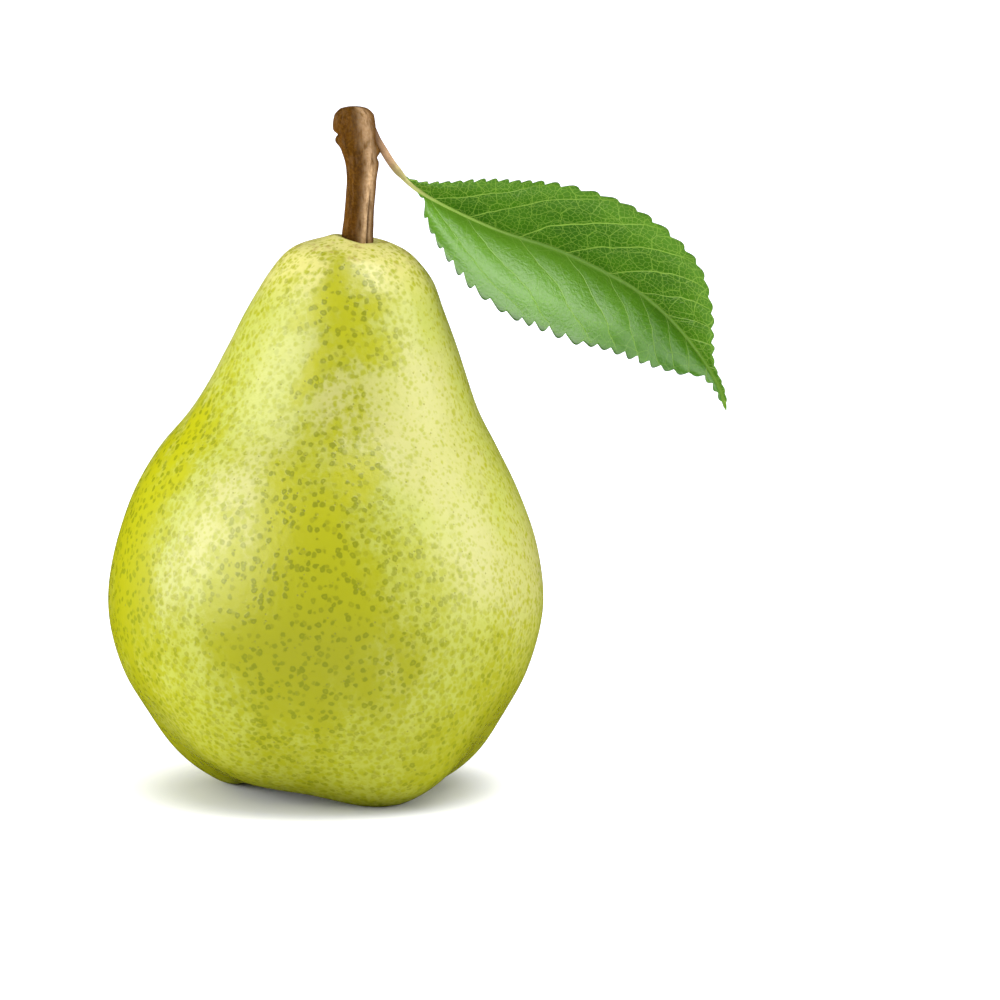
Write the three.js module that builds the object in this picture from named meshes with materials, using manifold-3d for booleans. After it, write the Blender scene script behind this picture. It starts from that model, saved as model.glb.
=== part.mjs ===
// A ripe pear standing on its base: the fruit, its woody stem, one leaf that is still on the stem, and the
// dried remains of the blossom in the hollow underneath. Millimetres, +Z up, leaf towards +X. The shapes are
// worked out with the fruit's own axis at X = 0, Y = 0. At the end the whole group is moved so that the
// middle of its bounding box's base is the origin.
import * as THREE from "three";
import { ParametricGeometry } from "three/addons/geometries/ParametricGeometry.js";
import { mergeVertices } from "three/addons/utils/BufferGeometryUtils.js";
import Module from "manifold-3d";

const FULL_TURN = 2 * Math.PI;
const radians = THREE.MathUtils.degToRad;
const { lerp, smoothstep } = THREE.MathUtils;

// The skin's rings, as [radius, height, lean of the ring's middle towards +X]. They start in the middle of
// the blossom hollow, go out over the crest that the fruit stands on, up the belly and the waist to the
// crown, and down into the pit that the stem stands in.
const SKIN_RINGS = [
  [0.0, 7.4, 0.0],
  [1.8, 7.2, 0.0],
  [2.4, 6.2, 0.0],
  [3.6, 5.6, 0.0],
  [7.4, 3.4, 0.0],
  [11.6, 0.8, 0.0],
  [15.6, -0.35, 0.0],
  [20.0, 1.5, 0.0],
  [24.8, 5.4, 0.0],
  [29.5, 12.0, 0.0],
  [33.6, 19.4, 0.0],
  [36.0, 27.4, 0.0],
  [36.4, 34.0, 0.0],
  [35.0, 42.4, 0.1],
  [32.0, 50.8, 0.2],
  [28.3, 57.6, 0.6],
  [24.2, 63.8, 1.5],
  [21.3, 69.8, 2.3],
  [18.9, 75.4, 2.8],
  [16.4, 81.2, 3.3],
  [13.5, 86.8, 4.0],
  [9.8, 90.9, 4.4],
  [6.4, 92.6, 4.9],
  [4.2, 93.1, 5.2],
  [3.2, 92.8, 5.3],
  [2.9, 91.8, 5.3],
  [2.9, 90.6, 5.3],
  [0.0, 90.5, 5.3],
];

// Five low lobes stand round the blossom hollow. Only the part below LOBE_REACH is lobed.
const LOBES = 5;
const FIRST_LOBE = radians(-56);
const LOBE_REACH = 26;
const CREST_RADIUS = 15.6;
const LOBE_SWELL = 0.05;
const FURROW_LIFT = 0.8;
// The first lobe stands out further than the others.
const FIRST_LOBE_SWELL = 0.11;
const FIRST_LOBE_SPREAD = radians(32);
// The lobe at this angle stops short of the floor, so the fruit stands on the other four.
const SHORT_LOBE = radians(-132);
const SHORT_LOBE_LIFT = 3.0;
const SHORT_LOBE_SPREAD = radians(36);
// The crown slopes down towards +X by this share, from nothing at its foot to all of it at its shoulder.
const CROWN_SLOPE = 0.06;
const CROWN_FOOT = 84;
const CROWN_SHOULDER = 91;
// A fleshy collar rises against the stem on one side of the pit.
const COLLAR_SIDE = radians(195);
const COLLAR_FOOT = 91.6;
const COLLAR_TOP = 92.6;
const COLLAR_RADIUS = 3.5;
const COLLAR_WIDTH = 1.4;
const COLLAR_RISE = 0.9;

// The stem's rings, as [height, middle X, half width along X, half width along Y].
const STEM_RINGS = [
  [90.9, 5.3, 0.0, 0.0],
  [90.9, 5.3, 2.4, 2.3],
  [93.8, 5.4, 2.5, 2.4],
  [99.0, 5.9, 2.4, 2.3],
  [103.0, 6.1, 2.3, 2.3],
  [106.0, 6.1, 2.6, 2.4],
  [108.8, 5.7, 3.1, 2.7],
  [112.0, 5.1, 3.6, 3.1],
  [114.2, 5.0, 3.3, 2.9],
  [115.5, 5.0, 2.1, 1.8],
  [115.8, 5.0, 0.0, 0.0],
];

// The leaf's spine runs down its stalk and on along the midrib to the tip.
const LEAF_SPINE = [
  [9.8, 0.0, 108.7],
  [11.5, 0.1, 105.4],
  [14.5, 0.5, 102.2],
  [18.0, 0.9, 99.8],
  [28.8, 1.7, 94.5],
  [38.8, 2.0, 91.1],
  [46.1, 1.8, 87.7],
  [52.4, 1.4, 84.1],
  [59.2, 0.8, 78.0],
  [65.7, 0.2, 68.7],
  [67.2, 0.0, 64.0],
];
const STALK_RADIUS = 0.65;
const RIB_TIP_RADIUS = 0.3;
const RIB_END = 0.93;
// The leaf's face looks towards -Y and a little up.
const LEAF_FACING = new THREE.Vector3(0, -Math.cos(radians(10)), Math.sin(radians(10)));
// The blade starts at this share of the spine's length.
const BLADE_START = 0.1;
const BLADE_THICKNESS = 0.6;
// The blade's two halves fold up towards -Y, like an open book. An outline gives a half's width at shares
// of the blade's length, and the last stretch is the narrow, drawn-out tip.
const UPPER_HALF = {
  side: 1,
  fold: radians(40),
  shares: [0, 0.09, 0.23, 0.4, 0.53, 0.65, 0.76, 0.85, 0.92, 1],
  widths: [0, 5.2, 11.3, 14.6, 15.2, 13.6, 8.8, 3.3, 0.9, 0],
};
const LOWER_HALF = {
  side: -1,
  fold: radians(37),
  shares: [0, 0.06, 0.1, 0.17, 0.28, 0.4, 0.5, 0.62, 0.75, 0.85, 0.92, 1],
  widths: [0, 1.8, 5.8, 10.2, 14.6, 16.8, 16.3, 14.3, 10.5, 5.2, 0.9, 0],
};
const TEETH = 28;
const TOOTH_DEPTH = 0.6;

// The dried blossom hangs in the hollow: five sepals spread from the rim of the blossom scar, round the
// thread-like stamens.
const SEPALS = 5;
const SEPAL_LENGTH = 3.6;
const SEPAL_OUTLINE = { shares: [0, 0.15, 0.35, 0.7, 1], widths: [0, 1.1, 1.3, 0.7, 0] };
const SEPAL_HALF_THICKNESS = 0.22;
const SEPAL_FOOT_RADIUS = 2.7;
const SEPAL_FOOT_HEIGHT = 5.3;
const SEPAL_DROOP = 1.9;
const STAMENS = 10;
const STAMEN_RADIUS = 0.2;
const STAMEN_RING_RADIUS = 1.25;
const STAMEN_CURL = 0.2;
const STAMEN_TOP = 6.6;
const STAMEN_LENGTH = 3.1;

// How finely each surface is divided, as [round it, from end to end].
const FRUIT_DIVISIONS = [48, 40];
const STEM_DIVISIONS = [16, 18];
const RIB_DIVISIONS = [8, 28];
const BLADE_AROUND = 12;
const BLADE_TIP_STEPS = 6;
const DRIED_DIVISIONS = [8, 6];

const MATERIALS = {
  skin: new THREE.MeshStandardMaterial({ color: 0xb9c43a, roughness: 0.42, metalness: 0 }),
  bark: new THREE.MeshStandardMaterial({ color: 0x6f4a1d, roughness: 0.75, metalness: 0 }),
  leaf: new THREE.MeshStandardMaterial({ color: 0x4c8f24, roughness: 0.5, metalness: 0 }),
  dried: new THREE.MeshStandardMaterial({ color: 0x4a3420, roughness: 0.9, metalness: 0 }),
};

const wasm = await Module();
wasm.setup();

// A closed surface: place(u, v, target) goes once round for u from 0 to 1, and from end to end for v.
function closedSurface(place, [around, along]) {
  const geometry = new ParametricGeometry(place, around, along);
  geometry.deleteAttribute("normal");
  geometry.deleteAttribute("uv");
  return mergeVertices(geometry, 1e-3);
}

function toSolid(geometry) {
  return new wasm.Manifold(
    new wasm.Mesh({
      numProp: 3,
      vertProperties: geometry.attributes.position.array,
      triVerts: new Uint32Array(geometry.index.array),
    }),
  );
}

function toGeometry(solid) {
  const { vertProperties, triVerts } = solid.getMesh();
  const geometry = new THREE.BufferGeometry();
  geometry.setAttribute("position", new THREE.BufferAttribute(vertProperties, 3));
  geometry.setIndex(new THREE.BufferAttribute(triVerts, 1));
  return geometry;
}

function addMesh(group, name, geometry, material) {
  geometry.computeVertexNormals();
  const mesh = new THREE.Mesh(geometry, material);
  mesh.name = name;
  group.add(mesh);
}

function curveThrough(points) {
  return new THREE.CatmullRomCurve3(points.map((p) => new THREE.Vector3(...p)));
}

// A bell of height 1 that has fallen to about a third at its spread.
function bell(distance, spread) {
  return Math.exp(-((distance / spread) ** 2));
}

// The smaller way round between two angles.
function angleBetween(a, b) {
  return Math.abs(Math.atan2(Math.sin(a - b), Math.cos(a - b)));
}

// 1 along the middle of a thin piece, falling to 0 at both of its ends.
function roundedEnds(share) {
  return Math.min(1, 6 * share * (1 - share));
}

// The half width of a flat piece, such as a blade or a sepal, at a share of its length.
function widthAt({ shares, widths }, share) {
  const [width] = new THREE.CubicInterpolant(shares, widths, 1).evaluate(share);
  return Math.max(0, width);
}

function fruitGeometry() {
  const rings = curveThrough(SKIN_RINGS);
  const place = (u, v, target) => {
    const angle = u * FULL_TURN;
    const ring = rings.getPoint(v);
    const low = 1 - smoothstep(ring.y, 0, LOBE_REACH);
    const lobed = low * Math.min(1, ring.x / CREST_RADIUS);
    const wave = Math.cos(LOBES * (angle - FIRST_LOBE));
    const first = bell(angleBetween(angle, FIRST_LOBE), FIRST_LOBE_SPREAD);
    const short = bell(angleBetween(angle, SHORT_LOBE), SHORT_LOBE_SPREAD);
    const radius = ring.x * (1 + (LOBE_SWELL * wave + FIRST_LOBE_SWELL * first) * lobed);
    const furrow = (FURROW_LIFT * (1 - wave)) / 2;
    const slope = CROWN_SLOPE * smoothstep(ring.y, CROWN_FOOT, CROWN_SHOULDER) * Math.cos(angle);
    const collar =
      COLLAR_RISE *
      smoothstep(ring.y, COLLAR_FOOT, COLLAR_TOP) *
      bell(ring.x - COLLAR_RADIUS, COLLAR_WIDTH) *
      Math.max(0, Math.cos(angle - COLLAR_SIDE));
    const lift = (furrow + SHORT_LOBE_LIFT * short) * lobed - slope * radius + collar;
    target.set(ring.z + radius * Math.cos(angle), radius * Math.sin(angle), ring.y + lift);
  };
  const fruit = toSolid(closedSurface(place, FRUIT_DIVISIONS));
  // The lobes reach just below Z = 0, so cutting there gives each a small flat spot to rest on.
  const slabSide = 100;
  const slabHeight = 10;
  const floor = new THREE.BoxGeometry(slabSide, slabSide, slabHeight);
  floor.translate(0, 0, -slabHeight / 2);
  floor.deleteAttribute("normal");
  floor.deleteAttribute("uv");
  return toGeometry(fruit.subtract(toSolid(mergeVertices(floor))));
}

function stemGeometry() {
  const middles = curveThrough(STEM_RINGS.map(([height, x]) => [x, 0, height]));
  const halfWidths = curveThrough(STEM_RINGS.map(([, , wide, deep]) => [wide, deep, 0]));
  const place = (u, v, target) => {
    const middle = middles.getPoint(v);
    const half = halfWidths.getPoint(v);
    const angle = u * FULL_TURN;
    target.set(middle.x + half.x * Math.cos(angle), half.y * Math.sin(angle), middle.z);
  };
  return closedSurface(place, STEM_DIVISIONS);
}

// The leaf's frame at a share of its spine: up across the spine, and out of the leaf's face.
function leafFrame(spine, share) {
  const along = spine.getTangentAt(share);
  const up = LEAF_FACING.clone().cross(along).normalize();
  const out = along.clone().cross(up);
  return { at: spine.getPointAt(share), up, out };
}

function leafGeometry() {
  const spine = curveThrough(LEAF_SPINE);
  const steps = 2 * TEETH + BLADE_TIP_STEPS;

  // One half's width at a share of the blade's length, with a notch between each tooth and the next.
  const toothedWidth = (half, share) => {
    const width = widthAt(half, share);
    const atNotch = Math.round(share * steps) % 2 === 0;
    return atNotch ? width - Math.min(TOOTH_DEPTH, width / 4) : width;
  };

  const placeBlade = (u, v, target) => {
    const { at, up, out } = leafFrame(spine, BLADE_START + (1 - BLADE_START) * v);
    const closed = v === 0 || v === 1;
    // u goes over the face from the upper margin to the lower one, and back over the underside.
    const onFace = u < 0.5;
    const across = onFace ? 1 - 4 * u : 4 * u - 3;
    const half = across > 0 ? UPPER_HALF : LOWER_HALF;
    const reach = closed ? 0 : Math.abs(across) * toothedWidth(half, v);
    const depth = closed ? 0 : ((onFace ? 1 : -1) * BLADE_THICKNESS * (1 - Math.abs(across))) / 2;
    target
      .copy(at)
      .addScaledVector(up, half.side * reach * Math.cos(half.fold))
      .addScaledVector(out, reach * Math.sin(half.fold) + depth);
  };

  const placeRib = (u, v, target) => {
    const { at, up, out } = leafFrame(spine, RIB_END * v);
    const angle = u * FULL_TURN;
    const closed = v === 0 || v === 1;
    const radius = closed ? 0 : lerp(STALK_RADIUS, RIB_TIP_RADIUS, v);
    target
      .copy(at)
      .addScaledVector(up, radius * Math.cos(angle))
      .addScaledVector(out, radius * Math.sin(angle) - RIB_TIP_RADIUS * v);
  };

  const blade = toSolid(closedSurface(placeBlade, [BLADE_AROUND, steps]));
  const rib = toSolid(closedSurface(placeRib, RIB_DIVISIONS));
  return toGeometry(blade.add(rib));
}

function sepalGeometry(angle) {
  const outward = new THREE.Vector3(Math.cos(angle), Math.sin(angle), 0);
  const sideways = new THREE.Vector3(-Math.sin(angle), Math.cos(angle), 0);
  const place = (u, v, target) => {
    const turn = u * FULL_TURN;
    target
      .copy(outward)
      .multiplyScalar(SEPAL_FOOT_RADIUS + SEPAL_LENGTH * v)
      .addScaledVector(sideways, widthAt(SEPAL_OUTLINE, v) * Math.cos(turn));
    // The tip bends down further than the foot.
    const thickness = SEPAL_HALF_THICKNESS * roundedEnds(v);
    target.z = SEPAL_FOOT_HEIGHT - SEPAL_DROOP * v ** 2 + thickness * Math.sin(turn);
  };
  return closedSurface(place, DRIED_DIVISIONS);
}

function stamenGeometry(angle, curl) {
  const outward = new THREE.Vector3(Math.cos(angle), Math.sin(angle), 0);
  const place = (u, v, target) => {
    const turn = u * FULL_TURN;
    const hanging = 1 - v;
    const radius = STAMEN_RADIUS * roundedEnds(v);
    target.copy(outward).multiplyScalar(STAMEN_RING_RADIUS + curl * hanging ** 2);
    target.x += radius * Math.cos(turn);
    target.y += radius * Math.sin(turn);
    target.z = STAMEN_TOP - STAMEN_LENGTH * hanging;
  };
  return closedSurface(place, DRIED_DIVISIONS);
}

const pear = new THREE.Group();
addMesh(pear, "fruit", fruitGeometry(), MATERIALS.skin);
addMesh(pear, "stem", stemGeometry(), MATERIALS.bark);
addMesh(pear, "leaf", leafGeometry(), MATERIALS.leaf);
for (let i = 0; i < SEPALS; i += 1) {
  const angle = FIRST_LOBE + ((i + 0.5) * FULL_TURN) / SEPALS;
  addMesh(pear, `sepal_${i + 1}`, sepalGeometry(angle), MATERIALS.dried);
}
for (let i = 0; i < STAMENS; i += 1) {
  const angle = (i * FULL_TURN) / STAMENS;
  const curl = i % 2 ? STAMEN_CURL : -STAMEN_CURL;
  const name = `stamen_${String(i + 1).padStart(2, "0")}`;
  addMesh(pear, name, stamenGeometry(angle, curl), MATERIALS.dried);
}

const bounds = new THREE.Box3().setFromObject(pear);
pear.position.set(-(bounds.min.x + bounds.max.x) / 2, -(bounds.min.y + bounds.max.y) / 2, -bounds.min.z);

export default pear;
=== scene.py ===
"""A ripe pear with its stem, one leaf and the dried blossom underneath, on a pale table in soft light."""

import math

import bpy
import numpy as np
from mathutils import Matrix, Vector, noise


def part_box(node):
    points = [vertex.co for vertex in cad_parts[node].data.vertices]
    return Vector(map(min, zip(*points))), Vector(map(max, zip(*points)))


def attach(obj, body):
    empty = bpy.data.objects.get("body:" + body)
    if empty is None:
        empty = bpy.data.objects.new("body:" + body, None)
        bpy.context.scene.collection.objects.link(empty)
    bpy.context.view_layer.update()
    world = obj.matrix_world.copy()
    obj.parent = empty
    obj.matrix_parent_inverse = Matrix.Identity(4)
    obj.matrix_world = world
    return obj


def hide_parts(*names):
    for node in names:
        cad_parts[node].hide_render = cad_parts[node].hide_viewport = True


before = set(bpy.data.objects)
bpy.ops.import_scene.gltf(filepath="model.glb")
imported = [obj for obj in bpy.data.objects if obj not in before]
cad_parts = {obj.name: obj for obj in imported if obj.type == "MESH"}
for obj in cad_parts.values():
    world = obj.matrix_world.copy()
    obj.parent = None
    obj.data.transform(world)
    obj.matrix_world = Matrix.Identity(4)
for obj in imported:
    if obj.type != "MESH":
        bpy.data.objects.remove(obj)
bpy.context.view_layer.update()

# ---------------------------------------------------------------------------------------------------------
# The fruit is one swollen piece of flesh under a thin waxy skin, narrow at the neck and fullest low down.
# Its base folds into five low lobes round the hollow of the old blossom, and it stands on four of them.
# At the top the flesh has grown up against the stem, highest on one side.

MM = 0.001
FULL_TURN = 2 * math.pi

BELLY_RADIUS = 36.39  # all fruit sizes are in mm, from the middle of the belly at floor level
AXIS_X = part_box("fruit")[0][0] / MM + BELLY_RADIUS

SKIN_RINGS = [  # radius, height, lean of the ring's middle towards the leaf
    (0.0, 7.4, 0.0), (1.8, 7.2, 0.0), (2.4, 6.2, 0.0), (3.6, 5.6, 0.0), (7.4, 3.4, 0.0),
    (11.6, 0.8, 0.0), (15.6, -0.35, 0.0), (20.0, 1.5, 0.0), (24.8, 5.4, 0.0), (29.5, 12.0, 0.0),
    (33.6, 19.4, 0.0), (36.0, 27.4, 0.0), (36.4, 34.0, 0.0), (35.0, 42.4, 0.1), (32.0, 50.8, 0.2),
    (28.3, 57.6, 0.6), (24.2, 63.8, 1.5), (21.35, 69.8, 2.35), (19.0, 75.4, 2.9), (16.5, 81.2, 3.4),
    (13.65, 86.8, 4.15), (10.15, 90.9, 4.55), (6.6, 92.6, 4.95), (4.4, 93.1, 5.2), (3.3, 93.0, 5.3),
    (2.6, 92.5, 5.35), (2.3, 91.8, 5.35), (0.0, 91.5, 5.35),
]
FRUIT_AROUND, FRUIT_ALONG = 176, 190

LOBES = 5
FIRST_LOBE = math.radians(-56)
LOBE_REACH = 26
CREST_RADIUS = 15.6
LOBE_SWELL = 0.05
FURROW_LIFT = 0.8
FIRST_LOBE_SWELL, FIRST_LOBE_SPREAD = 0.11, math.radians(32)
SHORT_LOBE, SHORT_LOBE_LIFT, SHORT_LOBE_SPREAD = math.radians(-132), 3.0, math.radians(36)

CROWN_SLOPE, CROWN_FOOT, CROWN_SHOULDER = 0.06, 84, 91
COLLAR_SIDE = math.radians(195)
COLLAR_FOOT, COLLAR_TOP = 91.8, 92.9
COLLAR_RADIUS, COLLAR_WIDTH, COLLAR_RISE = 2.9, 1.9, 0.9

SKIN_DENTS = ((0.28, 24.0), (0.07, 7.0))  # depth and breadth of the uneven growth of the flesh
EVEN_BASE = 12  # the dents fade out below this height
EVEN_MIDDLE = (3, 9)  # and between these distances from the stem and the hollow


def smooth_curve(points, shares):
    """Points on a smooth curve through the given ones, at shares of the way from the first to the last."""
    given = np.array(points, float)
    before = 2 * given[0] - given[1]
    after = 2 * given[-1] - given[-2]
    padded = np.vstack([before, given, after])
    place = np.clip(shares, 0, 1) * (len(given) - 1)
    span = np.minimum(place.astype(int), len(given) - 2)
    w = (place - span)[:, None]
    p0, p1, p2, p3 = (padded[span + i] for i in range(4))
    d01, d12, d23 = (
        np.sqrt(np.linalg.norm(b - a, axis=1, keepdims=True)) for a, b in ((p0, p1), (p1, p2), (p2, p3))
    )
    leaving = ((p1 - p0) / d01 - (p2 - p0) / (d01 + d12) + (p2 - p1) / d12) * d12
    arriving = ((p2 - p1) / d12 - (p3 - p1) / (d12 + d23) + (p3 - p2) / d23) * d12
    bend = 3 * (p2 - p1) - 2 * leaving - arriving
    twist = 2 * (p1 - p2) + leaving + arriving
    return p1 + w * (leaving + w * (bend + w * twist))


def rise(value, low, high):
    """0 below low and 1 above high, with a smooth step between them."""
    share = np.clip((value - low) / (high - low), 0, 1)
    return share * share * (3 - 2 * share)


def bell(distance, spread):
    """1 at distance 0, falling smoothly to about a third at the spread."""
    return np.exp(-((distance / spread) ** 2))


def angle_between(a, b):
    return np.abs(np.arctan2(np.sin(a - b), np.cos(a - b)))


def uneven(points, breadth, seed=0):
    """Smooth random values between -1 and 1 over points in mm, with swellings about breadth apart."""
    shift = Vector((seed, 2 * seed, 3 * seed))
    flat = points.reshape(-1, 3) / breadth
    values = [noise.noise(Vector(point) + shift) for point in flat]
    return np.array(values).reshape(points.shape[:-1])


def closed_piece(name, rings, values=()):
    """A smooth closed mesh from rings of points in mm, each end drawn together to one point.
    values are named numbers or vectors, one for each point of the rings, that the material reads."""
    count, around = rings.shape[:2]

    def in_order(grid):
        first, last = grid[:1].mean(axis=1), grid[-1:].mean(axis=1)
        middle = grid[1:-1].reshape(-1, *grid.shape[2:])
        return np.concatenate([first, middle, last])

    tip = 1 + (count - 2) * around
    quads = [
        (a + step, a + (step + 1) % around, a + (step + 1) % around + around, a + step + around)
        for a in range(1, tip - around, around)
        for step in range(around)
    ]
    first_fan = [(0, 1 + (step + 1) % around, 1 + step) for step in range(around)]
    last_fan = [(tip, tip - around + step, tip - around + (step + 1) % around) for step in range(around)]
    mesh = bpy.data.meshes.new(name)
    mesh.from_pydata((in_order(rings) * MM).tolist(), [], first_fan + quads + last_fan)
    for value_name, grid in dict(values).items():
        kind, field = ("FLOAT_VECTOR", "vector") if grid.ndim == 3 else ("FLOAT", "value")
        attribute = mesh.attributes.new(value_name, kind, "POINT")
        attribute.data.foreach_set(field, in_order(grid).astype(np.float32).ravel())
    mesh.shade_smooth()
    piece = bpy.data.objects.new(name, mesh)
    bpy.context.scene.collection.objects.link(piece)
    return piece


def finish_piece(piece, material, slot, *nodes):
    """The piece gets its material, rides on the part's one body and stands for its CAD nodes."""
    piece.data.materials.append(material)
    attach(piece, "root")
    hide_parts(*nodes)


angle = np.linspace(0, FULL_TURN, FRUIT_AROUND, endpoint=False)[None, :]
skin_rings = smooth_curve(SKIN_RINGS, np.linspace(0, 1, FRUIT_ALONG))
ring_radius, ring_height, ring_lean = (column[:, None] for column in skin_rings.T)
lobed = (1 - rise(ring_height, 0, LOBE_REACH)) * np.minimum(1, ring_radius / CREST_RADIUS)
wave = np.cos(LOBES * (angle - FIRST_LOBE))
first_lobe = bell(angle_between(angle, FIRST_LOBE), FIRST_LOBE_SPREAD)
short_lobe = bell(angle_between(angle, SHORT_LOBE), SHORT_LOBE_SPREAD)
radius = ring_radius * (1 + (LOBE_SWELL * wave + FIRST_LOBE_SWELL * first_lobe) * lobed)
furrow = FURROW_LIFT * (1 - wave) / 2
slope = CROWN_SLOPE * rise(ring_height, CROWN_FOOT, CROWN_SHOULDER) * np.cos(angle)
collar = (
    COLLAR_RISE
    * rise(ring_height, COLLAR_FOOT, COLLAR_TOP)
    * bell(ring_radius - COLLAR_RADIUS, COLLAR_WIDTH)
    * np.maximum(0, np.cos(angle - COLLAR_SIDE))
)
height = ring_height + (furrow + SHORT_LOBE_LIFT * short_lobe) * lobed - slope * radius + collar
smooth_skin = np.stack(
    [AXIS_X + ring_lean + radius * np.cos(angle), radius * np.sin(angle), height], axis=-1
)
dent = sum(depth * uneven(smooth_skin, breadth) for depth, breadth in SKIN_DENTS)
dented = rise(height, 0, EVEN_BASE) * rise(ring_radius, *EVEN_MIDDLE)
skin = smooth_skin.copy()
skin[..., 0] += dent * dented * np.cos(angle)
skin[..., 1] += dent * dented * np.sin(angle)
skin[..., 2] = np.maximum(skin[..., 2], 0)  # the lobes are pressed flat where they stand
fruit = closed_piece("pear_fruit", skin)


def add_node(tree, kind, inputs=(), **settings):
    """A shader node with its settings, each input set to a value or joined to another node's output."""
    node = tree.nodes.new("ShaderNode" + kind)
    for setting, value in settings.items():
        setattr(node, setting, value)
    for socket, value in dict(inputs).items():
        if isinstance(value, bpy.types.NodeSocket):
            tree.links.new(value, node.inputs[socket])
        else:
            node.inputs[socket].default_value = value
    return node


def mixed(tree, share, first, second):
    """A colour that goes from the first to the second with the share."""
    first_socket, second_socket, result = 6, 7, 2
    inputs = {0: share, first_socket: first, second_socket: second}
    return add_node(tree, "Mix", inputs, data_type="RGBA").outputs[result]


def ramp(tree, value, low, high, start=0.0, end=1.0):
    """start below low and end above high, with a smooth step between them."""
    inputs = {"Value": value, "From Min": low, "From Max": high, "To Min": start, "To Max": end}
    return add_node(tree, "MapRange", inputs, interpolation_type="SMOOTHSTEP").outputs["Result"]


def calculated(tree, operation, *values):
    return add_node(tree, "Math", dict(enumerate(values)), operation=operation).outputs[0]


def times(tree, first, second):
    return calculated(tree, "MULTIPLY", first, second)


def bumpy(tree, height, strength, depth):
    """A normal that follows the height, with bumps of this depth in mm."""
    bumps = add_node(tree, "Bump", {"Height": height, "Strength": strength, "Distance": depth * MM})
    return bumps.outputs[0]


def new_material(name):
    """An empty material, its shader, and a point's place in mm in the part's frame."""
    material = bpy.data.materials.new(name)
    material.use_nodes = True
    tree = material.node_tree
    shader = tree.nodes["Principled BSDF"]
    place = add_node(tree, "TexCoord").outputs["Object"]
    in_mm = add_node(tree, "VectorMath", {0: place, "Scale": 1 / MM}, operation="SCALE").outputs[0]
    return material, tree, shader, in_mm


def join(tree, output, shader, socket):
    tree.links.new(output, shader.inputs[socket])


# Cloudy patches, the same effect in every material here. The mask is 1 inside the patches.
patches = bpy.data.node_groups.new("Cloudy patches", "ShaderNodeTree")
patches.interface.new_socket("Place", in_out="INPUT", socket_type="NodeSocketVector")
for input_name, usual in (("Breadth", 10.0), ("Detail", 3.0), ("Low", 0.4), ("High", 0.6)):
    new_input = patches.interface.new_socket(input_name, in_out="INPUT", socket_type="NodeSocketFloat")
    new_input.default_value = usual
patches.interface.new_socket("Mask", in_out="OUTPUT", socket_type="NodeSocketFloat")
asked = patches.nodes.new("NodeGroupInput").outputs
given = patches.nodes.new("NodeGroupOutput").inputs
density = calculated(patches, "DIVIDE", 1.0, asked["Breadth"])
cloud = add_node(
    patches, "TexNoise", {"Vector": asked["Place"], "Scale": density, "Detail": asked["Detail"]}
).outputs["Fac"]
patches.links.new(ramp(patches, cloud, asked["Low"], asked["High"]), given["Mask"])


def patchy(tree, place, breadth, low, high, detail=3.0):
    """A mask of cloudy patches of about this breadth in mm. It is 0 below low and 1 above high."""
    node = tree.nodes.new("ShaderNodeGroup")
    node.node_tree = patches
    tree.links.new(place, node.inputs["Place"])
    for socket, value in (("Breadth", breadth), ("Detail", detail), ("Low", low), ("High", high)):
        node.inputs[socket].default_value = value
    return node.outputs["Mask"]


# Dots spread at random over a surface, for the blotches and the pores of the skin. "Nearness" is 1 in the
# middle of a dot and 0 halfway to the next one, and "Strength" is a random number for each dot.
dots = bpy.data.node_groups.new("Scattered dots", "ShaderNodeTree")
dots.interface.new_socket("Place", in_out="INPUT", socket_type="NodeSocketVector")
dots.interface.new_socket("Spacing", in_out="INPUT", socket_type="NodeSocketFloat").default_value = 2.0
dots.interface.new_socket("Nearness", in_out="OUTPUT", socket_type="NodeSocketFloat")
dots.interface.new_socket("Strength", in_out="OUTPUT", socket_type="NodeSocketFloat")
asked = dots.nodes.new("NodeGroupInput").outputs
given = dots.nodes.new("NodeGroupOutput").inputs
density = calculated(dots, "DIVIDE", 1.0, asked["Spacing"])
cells = add_node(dots, "TexVoronoi", {"Vector": asked["Place"], "Scale": density})
halfway = 0.6
dots.links.new(ramp(dots, cells.outputs["Distance"], 0.0, halfway, 1.0, 0.0), given["Nearness"])
random_share = add_node(dots, "SeparateColor", {"Color": cells.outputs["Color"]}).outputs["Red"]
dots.links.new(random_share, given["Strength"])


def scattered(tree, place, spacing):
    """The nearness and the strength of dots this far apart, in mm."""
    node = tree.nodes.new("ShaderNodeGroup")
    node.node_tree = dots
    tree.links.new(place, node.inputs["Place"])
    node.inputs["Spacing"].default_value = spacing
    return node.outputs["Nearness"], node.outputs["Strength"]


PALE_SKIN = (0.45, 0.44, 0.13, 1)
GREENISH_SKIN = (0.41, 0.435, 0.08, 1)
LOW_SKIN = (0.40, 0.415, 0.05, 1)
# the painted highlight on the crown round the stem
CROWN_HIGHLIGHT_SKIN = (0.58, 0.545, 0.17, 1)
DEEP_YELLOW = (0.385, 0.385, 0.002, 1)
DEEP_GREEN = (0.30, 0.305, 0.001, 1)
BLOTCH_GREEN = (0.305, 0.325, 0.004, 1)
PORE_GREEN = (0.178, 0.20, 0.001, 1)
SPECK_OLIVE = (0.19, 0.20, 0.02, 1)
RUSSET = (0.30, 0.19, 0.06, 1)

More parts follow.
